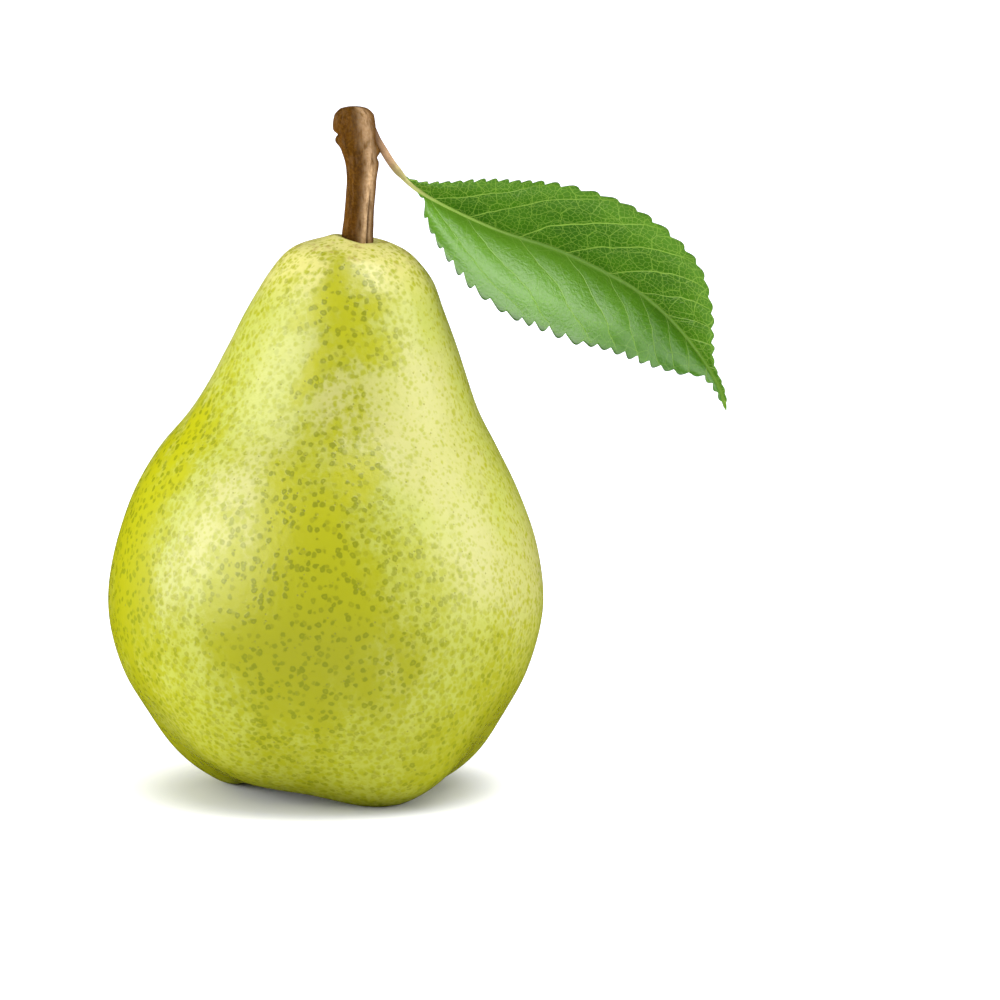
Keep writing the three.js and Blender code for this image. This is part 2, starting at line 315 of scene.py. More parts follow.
CLOUD_BREADTH, STREAK_BREADTH = 24, 15
CROWN_HIGHLIGHT_BAND = (82, 92)  # in each band of heights, one colour gives way to the next
LOW_BAND, LOW_EDGE_BREADTH, LOW_EDGE_WANDER = (50, 14), 16, 16.0
DEEP_BAND, DEEP_LOW_DOWN = (58, 16), 0.4
GREEN_BAND = (60, 24)
SHALLOWEST, STREAK_DEPTH = 0.27, 0.3  # how deep the colour is between the streaks, and how much more in them
UPRIGHT_SQUEEZE = 0.6  # the streaks and patches are longer up the fruit than round it
DEEP_AND_SHADE_PATCHES = (  # middle from the fruit's axis, half breadth, and how deep the colour is
    # The first three patches run down the front: partly darker skin, partly painted shade in the gap between
    # the reflections of the two cards.
    ((-2, -35, 45), 14, 0.9),
    ((5, -29, 64), 6, 0.6),
    ((3, -16, 80.5), 8, 0.95),
    ((-34, -12, 47), 14, 0.85),
    ((-24, -10, 67), 8, 0.55),
    ((30, 20, 40), 14, 0.6),
    ((-12, 26, 62), 9, 0.5),
)
PATCH_CORE, PATCH_END = 0.2, 2.0  # shares of the half breadth, where the colour is deepest and where it ends
PATCH_WANDER, PATCH_WANDER_BREADTH = 6.0, 5  # how far the edges of these patches wander
WOBBLE, WOBBLE_DENSITY = 0.9, 0.9  # how far the dots are pulled out of round
BLOTCHES = ((1.35, 0.8), (0.85, 0.6))  # spacing of the dots, and how strong their colour gets
PORE_SPACING = SPECK_SPACING = 1.3
HOLLOW_RADIUS = (12, 6)
RUSSET_BAND, RUSSET_FLECK = (88, 94), 2.2
SKIN_ROUGHNESS = (0.36, 0.46)
SKIN_GRAIN, SKIN_GRAIN_DEPTH = 1.6, 0.12

skin_material, tree, shader, place = new_material("Waxy pear skin")
up = add_node(tree, "SeparateXYZ", {0: place}).outputs["Z"]
colour = mixed(tree, patchy(tree, place, CLOUD_BREADTH, 0.4, 0.62), PALE_SKIN, GREENISH_SKIN)
low_wave = patchy(tree, place, LOW_EDGE_BREADTH, 0.3, 0.7)
low_edge = calculated(tree, "MULTIPLY_ADD", low_wave, LOW_EDGE_WANDER, up)
colour = mixed(tree, ramp(tree, low_edge, *LOW_BAND), colour, LOW_SKIN)
# Painted highlight: the crown round the stem is painted paler and creamier.
colour = mixed(tree, ramp(tree, up, *CROWN_HIGHLIGHT_BAND), colour, CROWN_HIGHLIGHT_SKIN)

# The colour deepens low down, in streaks along the fruit and in a few soft-edged patches.
squeezed = add_node(
    tree, "VectorMath", {0: place, 1: (1, 1, UPRIGHT_SQUEEZE)}, operation="MULTIPLY"
).outputs[0]
streaks = patchy(tree, squeezed, STREAK_BREADTH, 0.4, 0.68)
depth = calculated(tree, "MULTIPLY_ADD", streaks, STREAK_DEPTH, SHALLOWEST)
depth = calculated(tree, "ADD", depth, ramp(tree, up, *DEEP_BAND, 0.0, DEEP_LOW_DOWN))
wandering = times(tree, patchy(tree, squeezed, PATCH_WANDER_BREADTH, 0.3, 0.7, 6), PATCH_WANDER)
# Some of these patches are partly painted shade down the front of the fruit, as well as deeper skin.
for (x, y, z), half_breadth, deepest in DEEP_AND_SHADE_PATCHES:
    middle = (AXIS_X + x, y, z * UPRIGHT_SQUEEZE)
    from_patch = add_node(tree, "VectorMath", {0: squeezed, 1: middle}, operation="DISTANCE")
    edge = calculated(tree, "ADD", from_patch.outputs["Value"], wandering)
    in_patch = ramp(tree, edge, PATCH_CORE * half_breadth, PATCH_END * half_breadth, deepest, 0.0)
    depth = calculated(tree, "ADD", depth, in_patch)

# The deep colour starts as small separate blotches that grow and run together where it is deepest.
wobble = add_node(tree, "TexNoise", {"Vector": place, "Scale": WOBBLE_DENSITY, "Detail": 3.0})
wobbly = add_node(
    tree, "VectorMath", {0: wobble.outputs["Color"], 1: (WOBBLE,) * 3, 2: place}, operation="MULTIPLY_ADD"
).outputs[0]
for spacing, share in BLOTCHES:
    nearness, strength = scattered(tree, wobbly, spacing)
    grown = calculated(tree, "MULTIPLY_ADD", depth, 0.9, nearness)
    grown = calculated(tree, "MULTIPLY_ADD", strength, 0.35, grown)
    colour = mixed(tree, ramp(tree, grown, 0.68, 1.45, 0.0, share), colour, BLOTCH_GREEN)
deep_colour = mixed(tree, ramp(tree, up, *GREEN_BAND), DEEP_YELLOW, DEEP_GREEN)
colour = mixed(tree, ramp(tree, depth, 0.5, 1.2, 0.0, 0.9), colour, deep_colour)

# Round soft pores, some of them with a paler middle, show best where the colour is deep.
nearness, strength = scattered(tree, wobbly, PORE_SPACING)
rim = times(tree, ramp(tree, nearness, 0.1, 0.5), ramp(tree, nearness, 0.78, 0.97, 1.0, 0.6))
shown = times(tree, ramp(tree, depth, 0.3, 1.0, 0.08, 0.8), ramp(tree, strength, -0.5, 0.7))
pore = times(tree, rim, shown)
colour = mixed(tree, pore, colour, PORE_GREEN)

# Small dark pores between them.
nearness, strength = scattered(tree, place, SPECK_SPACING)
speck = times(tree, ramp(tree, nearness, 0.8, 0.97), ramp(tree, strength, 0.2, 0.8, 0.0, 0.7))
colour = mixed(tree, speck, colour, SPECK_OLIVE)

# Corky russet in the blossom hollow and in flecks round the stem.
from_axis = add_node(
    tree, "VectorMath", {0: place, 1: (AXIS_X, 0, 0)}, operation="DISTANCE"
).outputs["Value"]
in_hollow = ramp(tree, from_axis, *HOLLOW_RADIUS)
round_stem = times(tree, ramp(tree, up, *RUSSET_BAND), patchy(tree, place, RUSSET_FLECK, 0.55, 0.68))
corky = calculated(tree, "MAXIMUM", in_hollow, times(tree, round_stem, 0.6))
colour = mixed(tree, corky, colour, RUSSET)
join(tree, colour, shader, "Base Color")

fine_grain = patchy(tree, place, 0.6, 0.3, 0.7)
join(tree, ramp(tree, fine_grain, 0, 1, *SKIN_ROUGHNESS), shader, "Roughness")
pore_pits = calculated(tree, "MULTIPLY_ADD", pore, 0.4, times(tree, speck, -0.8))
relief = calculated(tree, "MULTIPLY_ADD", patchy(tree, place, SKIN_GRAIN, 0.3, 0.7), 0.5, pore_pits)
bumps = bumpy(tree, relief, 0.5, SKIN_GRAIN_DEPTH)
join(tree, bumps, shader, "Normal")
join(tree, bumps, shader, "Coat Normal")
shader.inputs["Specular IOR Level"].default_value = 0.0  # the wax makes all the gloss
shader.inputs["Coat Weight"].default_value = 1.0
shader.inputs["Coat Roughness"].default_value = 0.25
shader.inputs["Subsurface Weight"].default_value = 0.1
shader.inputs["Subsurface Radius"].default_value = (0.003, 0.0025, 0.0006)
shader.inputs["Subsurface Scale"].default_value = 1.0
finish_piece(fruit, skin_material, "skin", "fruit")

# ---------------------------------------------------------------------------------------------------------
# The stem is a short woody twig in rough brown bark. It swells at the top into a flat-ended knob, where it
# broke from the branch. One side of the knob has a notch over a small spur, and the leaf grew on the other.

STEM_RINGS = [  # height, middle X, half width along X, half width along Y
    (90.9, 5.3, 0.0, 0.0), (90.9, 5.35, 2.6, 2.4), (92.4, 5.45, 2.7, 2.5), (93.8, 5.5, 2.65, 2.45),
    (99.0, 5.95, 2.42, 2.3), (103.0, 6.25, 2.43, 2.32), (106.0, 6.32, 2.76, 2.4), (108.8, 5.7, 3.05, 2.7),
    (112.0, 5.05, 3.65, 3.1), (114.2, 5.0, 3.3, 2.9), (115.2, 5.0, 2.3, 2.1), (115.5, 5.0, 1.2, 1.0),
    (115.55, 5.0, 0.0, 0.0),
]
STEM_AROUND, STEM_ALONG = 80, 150
FAR_SIDE, LEAF_SIDE = math.pi, 0.0
NOTCH = {"side": FAR_SIDE, "height": 110.9, "spread": (0.6, 0.38), "out": -0.6}
SPUR = {"side": FAR_SIDE, "height": 109.6, "spread": (0.4, 0.7), "out": 0.42}
LEAF_SCAR = {"side": LEAF_SIDE, "height": 108.3, "spread": (0.55, 0.9), "out": 0.6}
SCAR_FOOT = {"side": LEAF_SIDE, "height": 106.9, "spread": (0.5, 0.45), "out": -0.25}
GROOVES = [  # angle round the stem, width in radians, depth in mm, top of the groove
    (math.radians(-47), 0.13, 0.34, 104.5), (math.radians(-102), 0.2, 0.14, 102.0),
    (math.radians(-155), 0.2, 0.12, 105.0), (math.radians(40), 0.15, 0.25, 104.0),
    (math.radians(110), 0.18, 0.22, 106.0),
]
GROOVE_FADE = 4
HIGHLIGHT_SIDE, HIGHLIGHT_SPREAD = math.radians(-56), 0.4
HIGHLIGHT_FADE, HIGHLIGHT_LESS = (103, 110), 0.45  # the painted highlight is fainter on the knob
BARK_DENTS = ((0.1, 3.4), (0.05, 1.1), (0.03, 0.45))  # depth and breadth
BARK_SQUEEZE, FIBRE_SQUEEZE = 0.35, 0.3  # ridges and fibres run up the stem
CLOSING_WIDTH = 1.5  # the bark is even where the ends close

stem_shares = np.linspace(0, 1, STEM_ALONG)
stem_middle = smooth_curve([(x, 0, z) for z, x, _, _ in STEM_RINGS], stem_shares)
stem_half = smooth_curve([(wide, deep, 0) for _, _, wide, deep in STEM_RINGS], stem_shares)
turn = np.linspace(0, FULL_TURN, STEM_AROUND, endpoint=False)[None, :]
middle_x, _, stem_height = (column[:, None] for column in stem_middle.T)
half_wide, half_deep, _ = (column[:, None] for column in stem_half.T)
swelling = np.zeros((STEM_ALONG, STEM_AROUND))
for feature in (NOTCH, SPUR, LEAF_SCAR, SCAR_FOOT):
    round_spread, height_spread = feature["spread"]
    swelling += (
        feature["out"]
        * bell(angle_between(turn, feature["side"]), round_spread)
        * bell(stem_height - feature["height"], height_spread)
    )
for side, width, depth, groove_top in GROOVES:
    above = rise(stem_height, groove_top - GROOVE_FADE, groove_top)
    swelling -= depth * bell(angle_between(turn, side), width) * (1 - above)
bark = np.stack(
    [
        AXIS_X + middle_x + half_wide * np.cos(turn),
        half_deep * np.sin(turn),
        stem_height + 0 * turn,
    ],
    axis=-1,
)
lengthwise = bark * (1, 1, BARK_SQUEEZE)
swelling += sum(depth * uneven(lengthwise, breadth, seed=5) for depth, breadth in BARK_DENTS)
swelling *= np.minimum(1, half_wide / CLOSING_WIDTH)
bark[..., 0] += swelling * np.cos(turn)
bark[..., 1] += swelling * np.sin(turn)
# A band of painted highlight down the front right of the stem, where the right-hand card would reflect.
highlight_band = bell(angle_between(turn, HIGHLIGHT_SIDE), HIGHLIGHT_SPREAD) * (1 - HIGHLIGHT_LESS * rise(stem_height, *HIGHLIGHT_FADE))
stem = closed_piece("pear_stem", bark, {"hollow_shade": -swelling, "highlight_side": highlight_band})

BARK_BROWN = (0.082, 0.031, 0.001, 1)
BARK_DARK = (0.028, 0.010, 0.001, 1)
BARK_LIGHT = (0.19, 0.085, 0.008, 1)
BARK_TAN = (0.62, 0.41, 0.22, 1)
BARK_RED = (0.10, 0.035, 0.003, 1)
BARK_GRAIN = 0.45
BARK_ROUGHNESS = (0.6, 0.42)  # of whole bark, and of worn bark and the painted highlight band
BARK_DEPTH = 0.12

bark_material, tree, shader, place = new_material("Pear stem bark")
stretched = add_node(
    tree, "VectorMath", {0: place, 1: (1, 1, FIBRE_SQUEEZE)}, operation="MULTIPLY"
).outputs[0]
dark_streaks = times(tree, patchy(tree, stretched, 1.3, 0.35, 0.65), 0.6)
colour = mixed(tree, dark_streaks, BARK_BROWN, BARK_DARK)
red_patches = times(tree, patchy(tree, place, 4, 0.45, 0.7), 0.4)
colour = mixed(tree, red_patches, colour, BARK_RED)
worn = times(tree, patchy(tree, stretched, 0.6, 0.45, 0.7, 5), 0.06)
colour = mixed(tree, worn, colour, BARK_TAN)
# Painted highlight: pale tan down the front right of the stem, fainter on the knob.
highlight_side = add_node(tree, "Attribute", attribute_name="highlight_side").outputs["Fac"]
pale = times(tree, highlight_side, patchy(tree, stretched, 0.7, 0.2, 0.55, 4))
colour = mixed(tree, pale, colour, BARK_TAN)
grain = patchy(tree, place, BARK_GRAIN, 0.4, 0.66, 5)
colour = mixed(tree, times(tree, grain, 0.3), colour, BARK_LIGHT)
# Painted shade darkens the grooves and the notch.
hollow_shade = add_node(tree, "Attribute", attribute_name="hollow_shade").outputs["Fac"]
colour = mixed(tree, ramp(tree, hollow_shade, 0.1, 0.35, 0, 0.8), colour, BARK_DARK)
join(tree, colour, shader, "Base Color")
worn_and_highlight = calculated(tree, "ADD", worn, pale)
join(tree, ramp(tree, worn_and_highlight, 0, 0.8, *BARK_ROUGHNESS), shader, "Roughness")
shader.inputs["Specular IOR Level"].default_value = 0.02
fibres = patchy(tree, stretched, 0.5, 0.3, 0.7, 5)
relief = calculated(tree, "MULTIPLY_ADD", fibres, 1.5, grain)
join(tree, bumpy(tree, relief, 0.6, BARK_DEPTH), shader, "Normal")
finish_piece(stem, bark_material, "bark", "stem")

# ---------------------------------------------------------------------------------------------------------
# The leaf is one thin green blade folded along its midrib, on a round stalk that grows out of the knob. Side
# veins fork from the midrib and loop forward along the toothed margins, and the tissue puffs up between them.
# The last stretch is a narrow, drawn-out tip.

LEAF_SPINE = [  # from inside the knob to the tip, in mm from the middle of the belly at floor level
    (7.2, 0.0, 112.6), (8.4, 0.0, 110.6), (9.7, 0.0, 108.5), (11.6, 0.1, 105.5), (14.5, 0.5, 102.3),
    (18.0, 0.9, 99.8), (28.8, 1.7, 94.5), (38.8, 2.0, 91.1), (46.1, 1.8, 87.7), (52.4, 1.4, 84.1),
    (59.2, 0.8, 78.0), (65.7, 0.2, 68.7), (67.2, 0.0, 64.0),
]
BLADE_BASE = (12.6, 0.25, 104.2)
LEAF_TILT = math.radians(10)
LEAF_FACING = np.array((0, -math.cos(LEAF_TILT), math.sin(LEAF_TILT)))
STALK_RADIUS, STALK_FOOT_RADIUS, RIB_TIP_RADIUS = 0.65, 1.0, 0.14
RIB_SINK, RIB_SINK_SHARE = 0.1, 0.2
RIB_TAPER = 0.25
BLADE_THICKNESS, MARGIN_THINNING = 0.34, 0.7
UPPER_HALF = {
    "fold": math.radians(40),
    "outline": [
        (0, 0), (0.035, 1.4), (0.11, 5.3), (0.23, 10.8), (0.4, 14.2), (0.53, 15.4), (0.66, 13.9), (0.77, 9.0),
        (0.85, 3.7), (0.91, 1.2), (0.96, 0.9), (1, 0),
    ],
    "teeth": 34, "tooth_depth": 0.75, "first_vein": 0.5, "lean": 0.95, "bend": 0.03, "puff": 0.26,
}
LOWER_HALF = {
    "fold": math.radians(37),
    "outline": [
        (0, 0), (0.06, 0.6), (0.105, 4.7), (0.185, 10.2), (0.29, 14.9), (0.41, 17.2), (0.5, 17.0),
        (0.62, 15.0), (0.76, 11.2), (0.85, 6.4), (0.91, 2.0), (0.96, 1.1), (1, 0),
    ],
    "teeth": 29, "tooth_depth": 1.35, "first_vein": 0.0, "lean": 1.3, "bend": 0.0, "puff": 0.13,
}
TOOTH_CROWDING = 0.05  # teeth are close together near both ends of the margin and wide apart between
TOOTH_LEAN, TOOTH_BLUNTNESS = 1.9, 0.6  # they point forward and have round tips
TOOTH_UNEVENNESS = 0.25
FULL_TOOTH_WIDTH = 3  # teeth and curl are smaller where the half blade is narrower than this
FULL_CURL_WIDTH = 8
VEIN_STARTS = [-14, -7, 0.5, 6.8, 13.2, 22.6, 31.2, 38.6, 45.0, 50.5, 56, 62, 68, 74]
VEIN_HOOK, HOOK_FROM = 9.0, 0.62  # past this share of the way out a side vein hooks forward
VEIN_WANDER = ((0.9, 6.0, 3), (0.35, 2.0, 4))  # how far, over what breadth, and the seed
MARGIN_CURL, CURL_FROM = 0.9, 0.55
RIPPLE, RIPPLE_BREADTH, RIPPLE_FROM = 0.35, 9.0, 0.4
PUFF_RISE = (0.3, 2.5)  # the tissue starts to puff up at this distance from the midrib, in mm
PUFF_FADE_FROM, PUFF_FADE = 0.7, 0.6  # and puffs up less near the margin
BLADE_ROWS, BLADE_COLUMNS = 300, 36
SPINE_STEPS, OUTLINE_STEPS = 800, 400

spine = smooth_curve(LEAF_SPINE, np.linspace(0, 1, SPINE_STEPS))
spine_steps = np.linalg.norm(np.diff(spine, axis=0), axis=1)
spine_length = np.concatenate([[0], np.cumsum(spine_steps)])
blade_start = spine_length[np.argmin(np.linalg.norm(spine - BLADE_BASE, axis=1))]
blade_length = spine_length[-1] - blade_start


def leaf_frames(lengths):
    """Along the spine at these lengths: the place, the way across the leaf and the way out of its face."""
    at = np.stack([np.interp(lengths, spine_length, spine[:, i]) for i in range(3)], axis=1)
    reach = 0.8
    ahead = np.stack([np.interp(lengths + reach, spine_length, spine[:, i]) for i in range(3)], axis=1)
    behind = np.stack([np.interp(lengths - reach, spine_length, spine[:, i]) for i in range(3)], axis=1)
    along = (ahead - behind) / np.linalg.norm(ahead - behind, axis=1, keepdims=True)
    across = np.cross(LEAF_FACING, along)
    across /= np.linalg.norm(across, axis=1, keepdims=True)
    return at, across, np.cross(along, across)


def half_blade(half, side, rows, shares_out):
    """The face of one half of the blade: its points, and for each the run along and out from the midrib,
    the place between side veins, and the nearness of the margin."""
    outline = smooth_curve(half["outline"], np.linspace(0, 1, OUTLINE_STEPS))
    width = np.maximum(0, np.interp(rows, outline[:, 0], outline[:, 1]))
    tooth_place = half["teeth"] * (rows + TOOTH_CROWDING * np.sin(FULL_TURN * rows))
    in_tooth = tooth_place % 1
    tooth = np.sin(math.pi * in_tooth**TOOTH_LEAN) ** TOOTH_BLUNTNESS
    depth = half["tooth_depth"] * np.minimum(1, width / FULL_TOOTH_WIDTH)
    size_change = 1 + TOOTH_UNEVENNESS * np.sin(7.3 * np.floor(tooth_place))
    toothed = width - depth * size_change * (1 - tooth)
    run_out = shares_out[None, :] ** 0.9 * toothed[:, None]
    run_along = (rows * blade_length)[:, None] + 0 * run_out
    share_out = run_out / np.maximum(width, 0.3)[:, None]
    # A side vein leaves the midrib forwards and bends further forward close to the margin.
    widening = np.minimum(1, width / FULL_CURL_WIDTH)[:, None]
    start = (
        run_along
        - half["lean"] * run_out
        - half["bend"] * run_out**2
        - VEIN_HOOK * np.maximum(0, share_out - HOOK_FROM) ** 2 * widening
        - half["first_vein"]
    )
    place = np.stack([run_along, run_out * side, 0 * run_out], axis=-1)
    start += sum(shift * uneven(place, breadth, seed) for shift, breadth, seed in VEIN_WANDER)
    vein = np.interp(start, VEIN_STARTS, np.arange(len(VEIN_STARTS)))
    between = np.abs(vein - np.round(vein)) * 2
    fading = rise(run_out, *PUFF_RISE) * (1 - PUFF_FADE * rise(share_out, PUFF_FADE_FROM, 1))
    puff = half["puff"] * between * (2 - between) * fading
    ripple = RIPPLE * uneven(place, RIPPLE_BREADTH, seed=7) * rise(share_out, RIPPLE_FROM, 1)
    at, across, out = leaf_frames(blade_start + rows * blade_length)
    fold = half["fold"]
    # The fold is rounded at the midrib, and the margin curls back a little.
    curl = MARGIN_CURL * rise(share_out, CURL_FROM, 1.0) * widening
    forward = run_out * math.sin(fold) + puff + ripple - curl * math.cos(fold)
    points = (
        at[:, None, :]
        + side * (run_out * math.cos(fold))[..., None] * across[:, None, :]
        + forward[..., None] * out[:, None, :]
    )
    return points, place, vein, share_out


rows = np.linspace(0, 1, BLADE_ROWS)
shares_out = np.linspace(0, 1, BLADE_COLUMNS)
upper = half_blade(UPPER_HALF, 1, rows, shares_out)
lower = half_blade(LOWER_HALF, -1, rows, shares_out)
face, blade_place, vein_place, margin_share = (
    np.concatenate([up_grid[:, :0:-1], down_grid], axis=1) for up_grid, down_grid in zip(upper, lower)
)
_, _, out = leaf_frames(blade_start + rows * blade_length)
thickness = BLADE_THICKNESS * (1 - MARGIN_THINNING * margin_share**3)
back = face - thickness[..., None] * out[:, None, :]


def face_and_back(front, behind):
    """Goes over the face from margin to margin and back over the underside."""
    return np.concatenate([front, behind[:, ::-1]], axis=1)


blade_values = {
    "blade_place": face_and_back(blade_place, blade_place),
    "vein_place": face_and_back(vein_place, vein_place),
    "margin_share": face_and_back(margin_share, margin_share),
    "underside": face_and_back(0 * margin_share, 0 * margin_share + 1),
}
blade = closed_piece("pear_leaf_blade", face_and_back(face, back), blade_values)

RIB_AROUND, RIB_ALONG = 20, 160
RIB_END = 0.985  # the share of the blade that the midrib runs through
STALK_FOOT_SHARE = 0.4
RIB_DENTS = (0.05, 2.5)  # depth and breadth

rib_lengths = np.linspace(0, blade_start + RIB_END * blade_length, RIB_ALONG)
at, across, out = leaf_frames(rib_lengths)
stalk_share = np.clip(rib_lengths / blade_start, 0, 1)
rib_share = np.clip((rib_lengths - blade_start) / blade_length, 0, 1)
rib_radius = (
    STALK_RADIUS
    + (STALK_FOOT_RADIUS - STALK_RADIUS) * (1 - rise(stalk_share, 0, STALK_FOOT_SHARE))
    - (STALK_RADIUS - RIB_TIP_RADIUS) * rib_share**RIB_TAPER
)
turn = np.linspace(0, FULL_TURN, RIB_AROUND, endpoint=False)
sunk = RIB_SINK * rise(rib_share, 0, RIB_SINK_SHARE)[:, None]
rib = (
    at[:, None, :]
    + (rib_radius[:, None] * np.cos(turn))[..., None] * across[:, None, :]
    + (rib_radius[:, None] * np.sin(turn) - sunk)[..., None] * out[:, None, :]
)
dent_depth, dent_breadth = RIB_DENTS
rib += dent_depth * uneven(rib, dent_breadth, seed=11)[..., None] * out[:, None, :]
down_stalk = np.repeat((rib_lengths / blade_start)[:, None], RIB_AROUND, axis=1)
stalk = closed_piece("pear_leaf_stalk", rib, {"down_stalk": down_stalk})
for piece in (blade, stalk):
    piece.data.transform(Matrix.Translation((AXIS_X * MM, 0, 0)))

LEAF_GREEN = (0.052, 0.165, 0.003, 1)
LEAF_DEEP = (0.034, 0.125, 0.002, 1)
LEAF_PALE_GREEN = (0.13, 0.32, 0.016, 1)
MARGIN_SHADE_GREEN = (0.025, 0.085, 0.002, 1)
RIB_GREEN = (0.14, 0.32, 0.02, 1)
LEAF_UNDERSIDE = (0.20, 0.33, 0.11, 1)
VEIN_GREEN = (0.34, 0.55, 0.07, 1)
STALK_YELLOW = (0.46, 0.44, 0.14, 1)
STALK_TAN = (0.38, 0.22, 0.10, 1)
STALK_BROWN = (0.10, 0.04, 0.003, 1)
VEIN_LINE = 0.032  # half the breadth of a side vein, as a share of the way to the next one
CROSS_NET, FINE_NET = (3.0, 0.1), (0.8, 0.075)  # mesh and line of the two nets of small veins
UNDERSIDE_SHARE = 0.85
BLADE_ROUGHNESS = (0.3, 0.42)
BLADE_BUMPS, STALK_BUMPS = 0.15, 0.1

blade_material, tree, shader, _ = new_material("Green leaf blade")
blade_run = add_node(tree, "Attribute", attribute_name="blade_place").outputs["Vector"]
vein_run = add_node(tree, "Attribute", attribute_name="vein_place").outputs["Fac"]
margin = add_node(tree, "Attribute", attribute_name="margin_share").outputs["Fac"]
underside = add_node(tree, "Attribute", attribute_name="underside").outputs["Fac"]
away = calculated(tree, "PINGPONG", vein_run, 0.5)
side_vein = ramp(tree, away, 0.0, VEIN_LINE, 1.0, 0.0)
side_vein = times(tree, side_vein, ramp(tree, margin, 0.75, 1.0, 1.0, 0.25))


def net(tree, place, mesh_size, line):
    """Thin lines of an uneven net, 1 on the lines. Both sizes are in mm."""
    shaken = add_node(tree, "TexNoise", {"Vector": place, "Scale": 0.6 / mesh_size, "Detail": 1.0})
    moved = add_node(
        tree,
        "VectorMath",
        {0: shaken.outputs["Color"], 1: (0.8 * mesh_size,) * 3, 2: place},
        operation="MULTIPLY_ADD",
    ).outputs[0]
    cells = add_node(
        tree,
        "TexVoronoi",
        {"Vector": moved, "Scale": 1 / mesh_size},
        feature="DISTANCE_TO_EDGE",
        voronoi_dimensions="2D",
    )
    return ramp(tree, cells.outputs["Distance"], 0.0, line / mesh_size, 1.0, 0.0)


# Painted light: the lower half is painted paler green near its stalk, where it faces the lamps. The upper
# half is paler near the margin and the tip.
along_blade, from_rib, _ = add_node(tree, "SeparateXYZ", {0: blade_run}).outputs
upper_share = ramp(tree, from_rib, -0.5, 0.5)
colour = mixed(tree, patchy(tree, blade_run, 9, 0.35, 0.65), LEAF_GREEN, LEAF_DEEP)
near_stalk = ramp(tree, along_blade, 24, 60, 0.8, 0.1)
lower_painted_light = times(tree, near_stalk, ramp(tree, margin, 0.55, 1.0, 1.0, 0.45))
lower_painted_light = calculated(tree, "SUBTRACT", lower_painted_light, upper_share)
near_margin = ramp(tree, margin, 0.45, 1.0, 0.0, 0.35)
near_tip = ramp(tree, along_blade, 30, 60, 0.0, 0.22)
upper_paler = times(tree, calculated(tree, "ADD", near_margin, near_tip), upper_share)
lit_and_paler = calculated(tree, "MAXIMUM", lower_painted_light, upper_paler)
colour = mixed(tree, lit_and_paler, colour, LEAF_PALE_GREEN)
colour = mixed(tree, times(tree, underside, UNDERSIDE_SHARE), colour, LEAF_UNDERSIDE)

# All veins show best on the upper half, which is turned further from the light.
rib_glow = ramp(tree, calculated(tree, "ABSOLUTE", from_rib), 0.2, 0.5, 0.35, 0.0)
cross_veins = net(tree, blade_run, *CROSS_NET)
fine_net = net(tree, blade_run, *FINE_NET)
veins = times(tree, side_vein, ramp(tree, upper_share, 0, 1, 0.4, 0.85))
cross_veins = times(tree, cross_veins, ramp(tree, upper_share, 0, 1, 0.16, 0.52))
fine_net = times(tree, fine_net, ramp(tree, upper_share, 0, 1, 0.06, 0.42))
for smaller_veins in (cross_veins, fine_net, rib_glow):
    veins = calculated(tree, "MAXIMUM", veins, smaller_veins)
colour = mixed(tree, veins, colour, VEIN_GREEN)
# Painted shade along the toothed margin, strongest on the lower half.
edge_shade = times(tree, ramp(tree, margin, 0.9, 1.0), ramp(tree, upper_share, 0, 1, 0.85, 0.3))
colour = mixed(tree, edge_shade, colour, MARGIN_SHADE_GREEN)
join(tree, colour, shader, "Base Color")
gloss_patches = patchy(tree, blade_run, 1.2, 0.3, 0.7)
join(tree, ramp(tree, gloss_patches, 0, 1, *BLADE_ROUGHNESS), shader, "Roughness")
tissue = times(tree, patchy(tree, blade_run, 0.7, 0.3, 0.7), 0.4)
bumps = bumpy(tree, calculated(tree, "SUBTRACT", tissue, veins), 0.5, BLADE_BUMPS)
join(tree, bumps, shader, "Normal")
join(tree, bumps, shader, "Coat Normal")
shader.inputs["Specular IOR Level"].default_value = 0.05
shader.inputs["Coat Weight"].default_value = 0.9
shader.inputs["Coat Roughness"].default_value = 0.25
finish_piece(blade, blade_material, "leaf", "leaf")

stalk_material, tree, shader, place = new_material("Leaf stalk")
down = add_node(tree, "Attribute", attribute_name="down_stalk").outputs["Fac"]
colour = mixed(tree, ramp(tree, down, 0.15, 0.6), STALK_BROWN, STALK_TAN)
colour = mixed(tree, ramp(tree, down, 0.65, 1.15), colour, STALK_YELLOW)
brown_patches = times(tree, patchy(tree, place, 1.5, 0.45, 0.65), 0.35)
colour = mixed(tree, brown_patches, colour, STALK_BROWN)
colour = mixed(tree, ramp(tree, down, 1.1, 2.0), colour, VEIN_GREEN)
colour = mixed(tree, ramp(tree, down, 1.8, 4.0), colour, RIB_GREEN)
join(tree, colour, shader, "Base Color")
shader.inputs["Roughness"].default_value = 0.5
fibres = patchy(tree, place, 0.5, 0.3, 0.7)
join(tree, bumpy(tree, fibres, 0.4, STALK_BUMPS), shader, "Normal")
finish_piece(stalk, stalk_material, "leaf", "leaf")

# ---------------------------------------------------------------------------------------------------------
# The dried blossom is left in the hollow underneath: five pointed, papery sepals spread from the rim of the
# blossom scar, and inside them the withered threads of the stamens.

